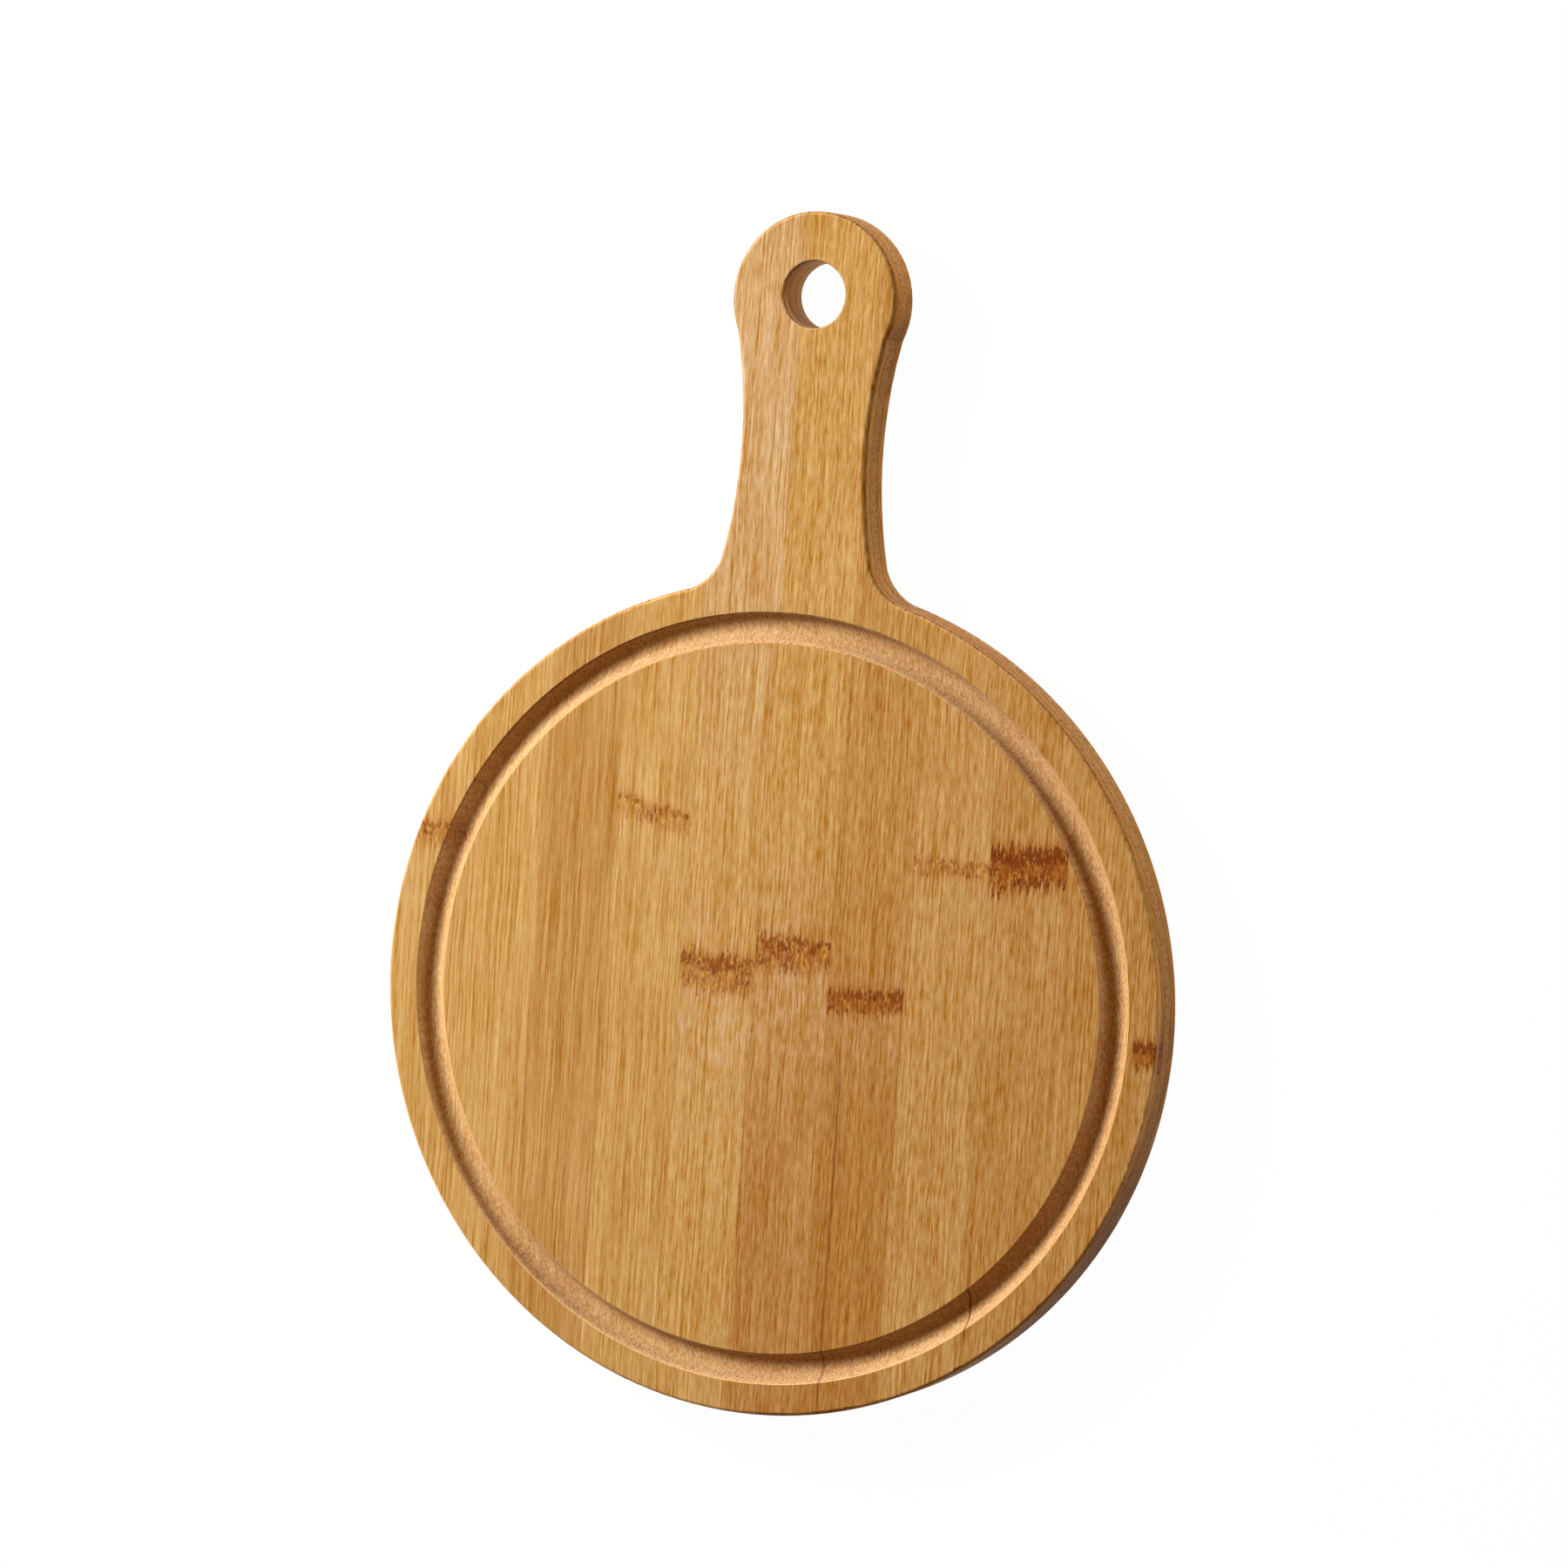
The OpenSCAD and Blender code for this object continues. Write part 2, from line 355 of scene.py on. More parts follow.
@dataclass(frozen=True)
class NodeScar:
    """Planed joint of the culm: a band of flared fibres with brown dashes, dark pores and a pale haze by it.

    Heights in the band are counted from its middle, in reaches of the fibre ends that make its edge ragged.

    Attributes:
        along_mm: Place of its middle along the strip.
        half_mm: Half of its height along the fibres.
        slope: How much it climbs per millimetre across the strip.
        brown: How brown it is, from 0 to 1.
        haze: How much the fibres beside it pale, from 0 to 1.
        apart: Step from one strip's scar to the next one's, in cells.
        flare_mm: Size of the fibre ends.
        patch_mm: Size of the patches in which the haze and the dashes gather.
        dash_mm: Size of the dashes.
        flare_range: Part of the noise that goes from the shortest fibre end to the longest.
        reach: Reach of those two, in halves of the band's height.
        fade: Height at which the band starts to fade, and at which it ends.
        haze_drop: How far below the band's middle the haze is densest.
        haze_fade: Distance from there at which the haze starts to fade, and at which it ends.
        haze_range: Part of the patches' noise that goes from the thinnest haze to the densest.
        bloom: How much of the haze shows there.
        haze_tone: Its colour.
        stain: How much of the orange stain the brownest scar shows.
        stain_tint: Tint of that stain.
        rows: Height, width and strength of the rows in which the dashes are closest.
        patch_share: How much the patches gather the dashes.
        band_share: How much the band gathers them.
        layer_share: Strength of each finer layer of the dashes' noise.
        least: Sum at which a dash starts in the faintest scar, and how much less it is in the brownest one.
        dash_edge: How much further a dash is at its darkest.
        dash_dark: How dark it is there.
        thin_tone: Colour of the dashes in a faint scar.
        brown_tone: Their colour in a brown one.
        fleck_range: Part of the noise that goes from no yellow fibre to a full one.
        fleck: How yellow the fibres are in the faintest scar, and how much less in the brownest one.
        fleck_tone: Their colour.
        pore_scale: Pores for each dash.
        pore_edge: Where a pore starts to end and where it has, in cells.
        pore_dark: How dark it is.
        pore_open: Part of the pores' random colours that goes from closed to open.
        pore_tone: The pores' colour, nearly black.
    """

    along_mm: float
    half_mm: float
    slope: float = 0.0
    brown: float = 0.8
    haze: float = 0.1
    apart: Triple = (2.3, 4.1, 0.0)
    flare_mm: Triple = (0.8, 20.0, ENDLESS)
    patch_mm: Triple = (5.5, 4.0, ENDLESS)
    dash_mm: Triple = (0.85, 2.2, ENDLESS)
    flare_range: Pair = (0.3, 0.7)
    reach: Pair = (0.7, 1.6)
    fade: Pair = (0.4, 1.25)
    haze_drop: float = 1.3
    haze_fade: Pair = (0.9, 6.0)
    haze_range: Pair = (0.4, 0.6)
    bloom: Pair = (0.1, 1.6)
    haze_tone: str = "#dfba96"
    stain: float = 0.9
    stain_tint: str = "#dba96f"
    rows: tuple[Triple, ...] = ((0.4, 0.55, 0.24), (-0.75, 0.3, 0.2))
    patch_share: float = 0.55
    band_share: float = 0.5
    layer_share: float = 0.6
    least: Pair = (1.36, 0.18)
    dash_edge: float = 0.2
    dash_dark: float = 0.9
    thin_tone: str = "#a86420"
    brown_tone: str = "#7a3710"
    fleck_range: Pair = (0.56, 0.68)
    fleck: Pair = (0.95, 0.5)
    fleck_tone: str = "#e8b454"
    pore_scale: float = 0.7
    pore_edge: Pair = (0.1, 0.32)
    pore_dark: float = 0.75
    pore_open: Pair = (0.5, 0.6)
    pore_tone: str = "#4a2208"

    def lay(self, spot: Spot, colour: Socket, fibre: Socket, middle_mm: float, seed: float) -> Socket:
        """Lays the scar over the strip's colour.

        Args:
            spot: The place on the strip.
            colour: The colour so far.
            fibre: How light the fibre is there.
            middle_mm: The strip's middle, across the fibres.
            seed: The strip's number.

        Returns:
            The colour with the scar.
        """
        graph = spot.graph
        apart = tuple(step * seed for step in self.apart)
        rise = self._rise(spot, middle_mm, apart)
        band = graph.add(Kind.FADE, graph.add(Kind.UNSIGNED, rise), *self.fade, 1.0, 0.0)
        patch = graph.add(Kind.NOISE, spot.cells(self.patch_mm, apart), PER_CELL, SOFT_NOISE)
        dashes = spot.cells(self.dash_mm, apart)
        colour = self._hazed(graph, colour, rise, patch, fibre)
        colour = self._dashed(graph, colour, rise, patch, band, dashes)
        return self._pored(graph, colour, band, dashes)

    def _rise(self, spot: Spot, middle_mm: float, apart: Triple) -> Socket:
        """Measures the height above the band's sloping middle line.

        Args:
            spot: The place on the strip.
            middle_mm: The strip's middle, across the fibres.
            apart: Step that moves the fibre ends.

        Returns:
            The height, in reaches of the fibre end there.
        """
        graph = spot.graph
        flare = graph.add(Kind.NOISE, spot.cells(self.flare_mm, apart), PER_CELL, SOFT_NOISE)
        shortest, longest = (reach * self.half_mm for reach in self.reach)
        reach = graph.add(Kind.RAMP, flare, *self.flare_range, shortest, longest)
        line = graph.add(Kind.TIMES_PLUS, spot.across, -self.slope, self.slope * middle_mm - self.along_mm)
        return graph.add(Kind.DIVIDED, graph.add(Kind.PLUS, spot.along, line), reach)

    def _hazed(self, graph: Graph, colour: Socket, rise: Socket, patch: Socket, fibre: Socket) -> Socket:
        """Lays the pale haze over the light fibres around the band, mostly below it.

        Args:
            graph: The material's nodes.
            colour: The colour so far.
            rise: The height in the band.
            patch: The patches' noise.
            fibre: How light the fibre is there.

        Returns:
            The colour with the haze.
        """
        below = graph.add(Kind.UNSIGNED, graph.add(Kind.PLUS, rise, self.haze_drop))
        haze = graph.add(Kind.FADE, below, *self.haze_fade, self.haze, 0.0)
        bloom = graph.add(Kind.TIMES, graph.add(Kind.RAMP, patch, *self.haze_range, *self.bloom), fibre)
        haze = graph.add(Kind.TIMES_UP_TO_ONE, haze, bloom)
        return graph.add(Kind.BLEND, haze, colour, linear(self.haze_tone))

    def _dashed(self, graph: Graph, colour: Socket, rise: Socket, patch: Socket, band: Socket,
                dashes: Socket) -> Socket:
        """Lays an orange stain over the band, brown dashes that are closest in rows, and yellow fibres.

        Args:
            graph: The material's nodes.
            colour: The colour so far.
            rise: The height in the band.
            patch: The patches' noise.
            band: From 0 outside the band to 1 in it.
            dashes: The place in cells of the dashes.

        Returns:
            The colour with the dashes.
        """
        stain = graph.add(Kind.TIMES, band, self.stain * self.brown)
        colour = graph.add(Kind.TINT, stain, colour, linear(self.stain_tint))
        dash = graph.add(Kind.NOISE, dashes, PER_CELL, FINE_NOISE, self.layer_share).node.outputs
        dense = graph.add(Kind.TIMES_PLUS, patch, self.patch_share, dash["Fac"])
        for height, width, strength in self.rows:
            near = graph.add(Kind.UNSIGNED, graph.add(Kind.MINUS, rise, height))
            near = graph.add(Kind.FADE, near, 0.0, width, strength * self.brown, 0.0)
            dense = graph.add(Kind.PLUS, dense, near)
        dense = graph.add(Kind.TIMES_PLUS, band, self.band_share, dense)
        least = self.least[0] - self.least[1] * self.brown
        dark = graph.add(Kind.RAMP, dense, least, least + self.dash_edge, 0.0, self.dash_dark)
        tone = graph.add(Kind.BLEND, self.brown, linear(self.thin_tone), linear(self.brown_tone))
        colour = graph.add(Kind.BLEND, dark, colour, tone)
        yellow = graph.add(Kind.SPLIT, dash["Color"]).node.outputs["Y"]
        most = self.fleck[0] - self.fleck[1] * self.brown
        yellow = graph.add(Kind.RAMP, yellow, *self.fleck_range, 0.0, most)
        return graph.add(Kind.BLEND, graph.add(Kind.TIMES, band, yellow), colour, linear(self.fleck_tone))

    def _pored(self, graph: Graph, colour: Socket, band: Socket, dashes: Socket) -> Socket:
        """Lays dark pores over the band, of which some stay closed.

        Args:
            graph: The material's nodes.
            colour: The colour so far.
            band: From 0 outside the band to 1 in it.
            dashes: The place in cells of the dashes.

        Returns:
            The colour with the pores.
        """
        dots = graph.add(Kind.DOTS, dashes, self.pore_scale).node.outputs
        pore = graph.add(Kind.FADE, dots["Distance"], *self.pore_edge, self.pore_dark, 0.0)
        some = graph.add(Kind.RAMP, graph.add(Kind.SPLIT, dots["Color"]), *self.pore_open)
        pore = graph.add(Kind.TIMES, graph.add(Kind.TIMES, pore, some), band)
        return graph.add(Kind.BLEND, pore, colour, linear(self.pore_tone))


@dataclass(frozen=True)
class Hairline:
    """Fine brown seam along the fibres, where a strip has split a little.

    Attributes:
        across_mm: Place across the strip.
        low_mm: Lower end along the fibres.
        high_mm: Upper end along the fibres.
        half_mm: Half of its width.
        dark: How dark it is, from 0 to 1.
        wave_mm: Size of its waves.
        stray_mm: How far it strays to either side.
        taper_mm: Length over which its lower and its upper end fade.
        tone: Its colour.
    """

    across_mm: float
    low_mm: float
    high_mm: float
    half_mm: float
    dark: float
    wave_mm: Triple = (ENDLESS, 9.0, ENDLESS)
    stray_mm: float = 0.6
    taper_mm: Pair = (6.0, 12.0)
    tone: str = "#743f12"

    def lay(self, spot: Spot, colour: Socket) -> Socket:
        """Lays the seam over the strip's colour.

        Args:
            spot: The place on the strip.
            colour: The colour so far.

        Returns:
            The colour with the seam.
        """
        graph = spot.graph
        stray = graph.add(Kind.NOISE, spot.cells(self.wave_mm), PER_CELL, FINE_NOISE)
        low, high = self.across_mm + self.stray_mm, self.across_mm - self.stray_mm
        line = graph.add(Kind.RAMP, stray, 0.0, 1.0, low, high)
        seam = graph.add(Kind.FADE, spot.gap(spot.across, line), 0.0, self.half_mm, self.dark, 0.0)
        low_taper, high_taper = self.taper_mm
        for outside, inside in (
            (self.low_mm, self.low_mm + low_taper),
            (self.high_mm, self.high_mm - high_taper),
        ):
            seam = graph.add(Kind.TIMES, seam, graph.add(Kind.RAMP, spot.along, outside, inside))
        return graph.add(Kind.BLEND, seam, colour, linear(self.tone))


@dataclass(frozen=True)
class Strip:
    """One strip's own looks.

    Attributes:
        low: Tone at its lower or left end.
        high: Tone at its upper or right end.
        fleck: Share of short wavy flecks among its long fibres, from 0 to 1.
        scar: The node scar on it, if any.
        hairline: The seam in it, if any.
        drift_mm: Where along the strip its tone turns from the one to the other.
    """

    low: Tone
    high: Tone
    fleck: float = 0.45
    scar: NodeScar | None = None
    hairline: Hairline | None = None
    drift_mm: Pair = (-70.0, 90.0)


@dataclass(frozen=True)
class CutEnds:
    """Sawn and sanded ends of the fibres, stippled with open pores.

    Attributes:
        tone: Colour of the ends.
        pore_tone: Colour of the pores.
        pore_mm: Distance between the pores.
        pore_edge: Where a pore starts to end and where it has, in shares of that distance.
        facing: How squarely a surface faces along the fibres where an end starts, and where it is full.
        share: How much of the ends' colour shows there.
    """

    tone: str = "#c39a66"
    pore_tone: str = "#7d5430"
    pore_mm: Triple = (0.9, 5.0, 0.9)
    pore_edge: Pair = (0.2, 0.55)
    facing: Pair = (0.25, 0.85)
    share: float = 0.9

    def lay(self, spot: Spot, colour: Socket) -> tuple[Socket, Socket]:
        """Lays the stippled ends over the strip's colour.

        Args:
            spot: The place on the strip.
            colour: The colour so far.

        Returns:
            The colour with the ends, and the stipple from 0 in a pore to 1 between the pores.
        """
        graph = spot.graph
        stipple = graph.add(Kind.DOTS, spot.cells(self.pore_mm), PER_CELL)
        stipple = graph.add(Kind.FADE, stipple, *self.pore_edge)
        end = graph.add(Kind.BLEND, stipple, linear(self.pore_tone), linear(self.tone))
        endways = graph.add(Kind.FADE, spot.endways, *self.facing, 0.0, self.share)
        return graph.add(Kind.BLEND, endways, colour, end), stipple


@dataclass(frozen=True)
class Groove:
    """Juice groove, milled through the fibres: paler than the face and fuzzy with torn fibre ends.

    The torn ends are drawn coarser than they are, so that they show in a render.

    Attributes:
        radius_mm: Radius of its centre line.
        half_mm: Half of its width.
        lip_mm: Width over which its looks start.
        share: How much of its own colour shows.
        tone: Colour of the torn fibre ends.
        fuzz_tone: Colour between them.
        fuzz_mm: Size of the fibre ends.
        fuzz_range: Part of the noise that goes from between the fibre ends to their tips.
    """

    radius_mm: float = 102.1
    half_mm: float = 4.3
    lip_mm: float = 0.5
    share: float = 0.5
    tone: str = "#ebcb9f"
    fuzz_tone: str = "#b87d4a"
    fuzz_mm: Triple = (0.4, 4 / 3, 0.4)
    fuzz_range: Pair = (0.35, 0.65)

    def lay(self, spot: Spot, colour: Socket) -> tuple[Socket, Socket]:
        """Lays the milled looks over the strip's colour.

        Args:
            spot: The place on the strip.
            colour: The colour so far.

        Returns:
            The colour with the groove, and from 0 in the groove to 1 outside it.
        """
        graph = spot.graph
        off = spot.gap(spot.radius(), self.radius_mm)
        inside = graph.add(Kind.RAMP, off, self.half_mm, self.half_mm - self.lip_mm, 0.0, self.share)
        fuzz = graph.add(Kind.NOISE, spot.cells(self.fuzz_mm), PER_CELL, SOFT_NOISE)
        fuzz = graph.add(Kind.RAMP, fuzz, *self.fuzz_range)
        milled = graph.add(Kind.BLEND, fuzz, linear(self.fuzz_tone), linear(self.tone))
        colour = graph.add(Kind.BLEND, inside, colour, milled)
        return colour, graph.add(Kind.RAMP, inside, 0.0, self.share, 1.0, 0.0)


@dataclass(frozen=True)
class PaintedBoreLight:
    """Drilled wall of the hanging hole, with painted light that makes it paler towards the back, as if lit
    from below through the hole.

    Attributes:
        y_mm: Place of the hole along the handle.
        radius_mm: Its radius.
        slack_mm: How far outside that radius its looks start, and where they are full.
        top_mm: Height at which the wall is least pale.
        share: How much of the painted light shows there, and at the back.
        tone: Colour of the painted light.
    """

    y_mm: float = 193.5
    radius_mm: float = 9.2
    slack_mm: Pair = (0.5, 0.1)
    top_mm: float = 12.9
    share: Pair = (0.085, 1.19)
    tone: str = "#fbe3bd"

    def lay(self, spot: Spot, colour: Socket) -> Socket:
        """Lays the painted light on the hole's wall over the strip's colour.

        Args:
            spot: The place on the strip.
            colour: The colour so far.

        Returns:
            The colour with the painted light on the hole's wall.
        """
        graph = spot.graph
        start, full = (self.radius_mm + slack for slack in self.slack_mm)
        wall = graph.add(Kind.RAMP, spot.radius(self.y_mm), start, full)
        # Painted light: the wall grows paler the deeper it goes, as if lit from below through the hole
        pale = graph.add(Kind.RAMP, spot.deep, self.top_mm, 0.0, *self.share)
        pale = graph.add(Kind.TIMES_UP_TO_ONE, wall, pale)
        return graph.add(Kind.BLEND, pale, colour, linear(self.tone))


@dataclass(frozen=True)
class Rim:
    """Routed upper rim: painted light lifts its rounding paler across the disc, fading out towards the handle,
    and a dark dashed line runs along it by the handle.

    Attributes:
        handle_reach_mm: Where along the handle the dark line starts, and where it is at its darkest; the
            painted light on the rounding fades out over the same stretch.
        lit_rounding_mm: Height at which the painted light on the rounding starts, and at which it is at its
            palest.
        pale: How pale it is there, from 0 to 1.
        tone: Colour of the painted light on the rounding.
        line_mm: Height of the dark line.
        line_half_mm: Half of its width on the disc.
        neck_half_mm: Half of its width on the handle.
        neck_mm: Where along the handle the one turns into the other.
        dark: How dark the line is, from 0 to 1.
        dashes: How much of it shows in the pores of the fibres, and between them.
        dark_line_tone: Its colour.
    """

    handle_reach_mm: Pair = (15.0, 50.0)
    lit_rounding_mm: Pair = (12.2, 13.1)
    pale: float = 0.6
    tone: str = "#ecc68c"
    line_mm: float = 12.9
    line_half_mm: float = 0.65
    neck_half_mm: float = 1.3
    neck_mm: Pair = (100.0, 140.0)
    dark: float = 0.9
    dashes: Pair = (1.0, 0.6)
    dark_line_tone: str = "#5a3210"

    def lay(self, spot: Spot, colour: Socket, edge: Socket, stipple: Socket) -> Socket:
        """Lays the rim's looks over the strip's colour.

        Args:
            spot: The place on the strip.
            colour: The colour so far.
            edge: From 0 on the flat to 1 on the rounding and below it.
            stipple: From 0 in a pore to 1 between the pores.

        Returns:
            The colour with the rim.
        """
        graph = spot.graph
        start, full = self.handle_reach_mm
        # Painted light: the rounding is lifted towards a pale colour across the disc, fading out towards the
        # handle
        lit_reach = graph.add(Kind.RAMP, spot.along, full, start, 0.0, self.pale)
        high = graph.add(Kind.TIMES, graph.add(Kind.FADE, spot.deep, *self.lit_rounding_mm), edge)
        colour = graph.add(Kind.BLEND, graph.add(Kind.TIMES, high, lit_reach), colour, linear(self.tone))
        half = graph.add(Kind.RAMP, spot.along, *self.neck_mm, self.line_half_mm, self.neck_half_mm)
        line = graph.add(Kind.FADE, spot.gap(spot.deep, self.line_mm), 0.0, half, self.dark, 0.0)
        line = graph.add(Kind.TIMES, line, graph.add(Kind.RAMP, stipple, 0.0, 1.0, *self.dashes))
        line = graph.add(Kind.TIMES, line, edge)
        line = graph.add(Kind.TIMES, line, graph.add(Kind.RAMP, spot.along, start, full))
        return graph.add(Kind.BLEND, line, colour, linear(self.dark_line_tone))


@dataclass(frozen=True)
class GlueLines:
    """Glue lines of the pressed panel, thin and brown.

    Attributes:
        side_half_mm: Half of a line's width between two strips.
        side_dark: How dark it is, from 0 to 1.
        ply_half_mm: Half of a line's width between two plies.
        ply_dark: How dark it is, from 0 to 1.
        tone: The lines' colour.
    """

    side_half_mm: float = 0.2
    side_dark: float = 0.3
    ply_half_mm: float = 0.4
    ply_dark: float = 0.7
    tone: str = "#7a4f26"

    def lay(self, spot: Spot, colour: Socket, edges_mm: Pair, plies_mm: tuple[float, ...]) -> Socket:
        """Lays the lines along the strip's sides and between the plies over the strip's colour.

        Args:
            spot: The place on the strip.
            colour: The colour so far.
            edges_mm: The strip's two glued sides, measured across its fibres.
            plies_mm: Heights of the joints between the plies that the strip touches.

        Returns:
            The colour with the glue lines.
        """
        for value, lines, half, dark in (
            (spot.across, edges_mm, self.side_half_mm, self.side_dark),
            (spot.deep, plies_mm, self.ply_half_mm, self.ply_dark),
        ):
            for line in lines:
                glue = spot.graph.add(Kind.FADE, spot.gap(value, line), 0.0, half, dark, 0.0)
                colour = spot.graph.add(Kind.BLEND, glue, colour, linear(self.tone))
        return colour


@dataclass(frozen=True)
class OiledBamboo:
    """Flat-pressed bamboo, planed, sanded and oiled.

    Attributes:
        grain: Which way the fibres run.
        plies_mm: Heights of the joints to the plies above and below.
        ends: The cut ends of the fibres.
        groove: The juice groove, if it is in this ply.
        rim: The routed rim, if it is on this ply.
        fibres: The fibres.
        painted_bore_light: Painted light on the wall of the hanging hole.
        glue: The glue lines.
        shade: Tint of the dark yellow fibres against the light ones.
        rust: Tint of the dark rusty fibres.
        side_shade_tint: Painted shade: a warm, darker tint on the board's upright side.
        upright: How squarely a surface faces up or down where it is the side, and where it is no longer.
        edge: How squarely it does where the rounding of a rim starts, and where it ends.
        ior: Index of refraction of the oil film.
        gloss: Specular level of the oil.
        smooth: Roughness of the light fibres.
        rough: Roughness of the dark, open fibres.
        relief_mm: Depth of the relief that sanding leaves between them.
        relief: Strength of that relief.
    """

    grain: Grain
    plies_mm: tuple[float, ...]
    ends: CutEnds = CutEnds()
    groove: Groove | None = None
    rim: Rim | None = None
    fibres: Fibres = Fibres()
    painted_bore_light: PaintedBoreLight = PaintedBoreLight()
    glue: GlueLines = GlueLines()
    shade: str = "#c4a640"
    rust: str = "#cb9b38"
    side_shade_tint: str = "#ffebc4"
    upright: Pair = (0.15, 0.75)
    edge: Pair = (0.97, 0.7)
    ior: float = 1.48
    gloss: float = 0.035
    smooth: float = 0.4
    rough: float = 0.6
    relief_mm: float = 0.04
    relief: float = 0.5

    def material(self, name: str, strip: Strip, edges_mm: Pair, seed: float) -> bpy.types.Material:
        """Makes the material of one strip.

        Args:
            name: The material's name.
            strip: The strip's own looks.
            edges_mm: The strip's two glued sides, measured across its fibres.
            seed: Number that makes the strip's fibres its own.

        Returns:
            The material.
        """
        material = bpy.data.materials.new(name)
        material.use_nodes = True
        material.node_tree.nodes.clear()
        graph = Graph(material.node_tree)
        spot = Spot.read(graph, self.grain)
        fibre, rusty = self.fibres.draw(spot, strip.fleck, seed)

        # Oiled bamboo gives the eye a warm satin sheen, and dark fibres among light ones that drift in tone
        drift = graph.add(Kind.FADE, spot.along, *strip.drift_mm)
        tone = graph.add(Kind.BLEND, drift, linear(strip.low.value), linear(strip.high.value))
        shade = graph.add(Kind.BLEND, rusty, linear(self.shade), linear(self.rust))
        colour = graph.add(Kind.TINT, graph.add(Kind.MINUS, 1.0, fibre), tone, shade)
        if strip.scar:
            colour = strip.scar.lay(spot, colour, fibre, sum(edges_mm) / 2, seed)
        colour = self._cut(spot, colour)
        if strip.hairline:
            colour = strip.hairline.lay(spot, colour)
        colour = self.glue.lay(spot, colour, edges_mm, self.plies_mm)

        roughness = graph.add(Kind.RAMP, fibre, 0.0, 1.0, self.rough, self.smooth)
        relief = graph.add(Kind.RELIEF, fibre, self.relief, self.relief_mm * MM)
        shader = graph.add(Kind.SATIN, colour, roughness, relief, self.ior, self.gloss)
        graph.add(Kind.SURFACE, shader)
        return material

    def _cut(self, spot: Spot, colour: Socket) -> Socket:
        """Changes the colour where the board was cut: the ends, the groove, the side with painted shade, the
        hole with painted light, and the rim with painted light on its rounding.

        Args:
            spot: The place on the strip.
            colour: The colour so far.

        Returns:
            The colour with the cuts.
        """
        graph = spot.graph
        colour, stipple = self.ends.lay(spot, colour)
        side = graph.add(Kind.FADE, spot.flat, *self.upright, 1.0, 0.0)
        edge = graph.add(Kind.FADE, spot.flat, *self.edge)
        if self.groove:
            colour, outside = self.groove.lay(spot, colour)
            side = graph.add(Kind.TIMES, side, outside)
            edge = graph.add(Kind.TIMES, edge, outside)
        # Painted shade: the upright sides get a warm, darker tint
        colour = graph.add(Kind.TINT, side, colour, linear(self.side_shade_tint))
        # Painted light on the hole's wall, paler towards the back
        colour = self.painted_bore_light.lay(spot, colour)
        return self.rim.lay(spot, colour, edge, stipple) if self.rim else colour


@dataclass(frozen=True)
class Ply:
    """One ply of the panel: strips side by side, all with the same finish.

    Attributes:
        name: First word of its nodes' names.
        finish: The finish of its strips.
        strips: The looks of its strips, in order.
        seed_step: Step from one strip's seed to the next one's.
    """

    name: str
    finish: OiledBamboo
    strips: tuple[Strip, ...]
    seed_step: float = 1.7

    def dress(self, nodes: dict[str, bpy.types.Object]) -> int:
        """Gives each of the ply's CAD strips its material.

        Args:
            nodes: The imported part's nodes.

        Returns:
            How many nodes were dressed.
        """
        axis = "XY".index(self.finish.grain.value[0])
        count = 0
        for number, strip in enumerate(self.strips, 1):
            node = f"{self.name}_strip_{number:02d}"
            low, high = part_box(node)
            edges = (low[axis] / MM, high[axis] / MM)
            title = f"oiled bamboo {self.name} {number:02d}"
            material = self.finish.material(title, strip, edges, self.seed_step * number)
            for name in (node, f"{node}_head_piece"):
                if name in nodes:
                    nodes[name].data.materials.clear()
                    nodes[name].data.materials.append(material)
                    count += 1
                    LOG.info("%s: %s", name, title)
        return count


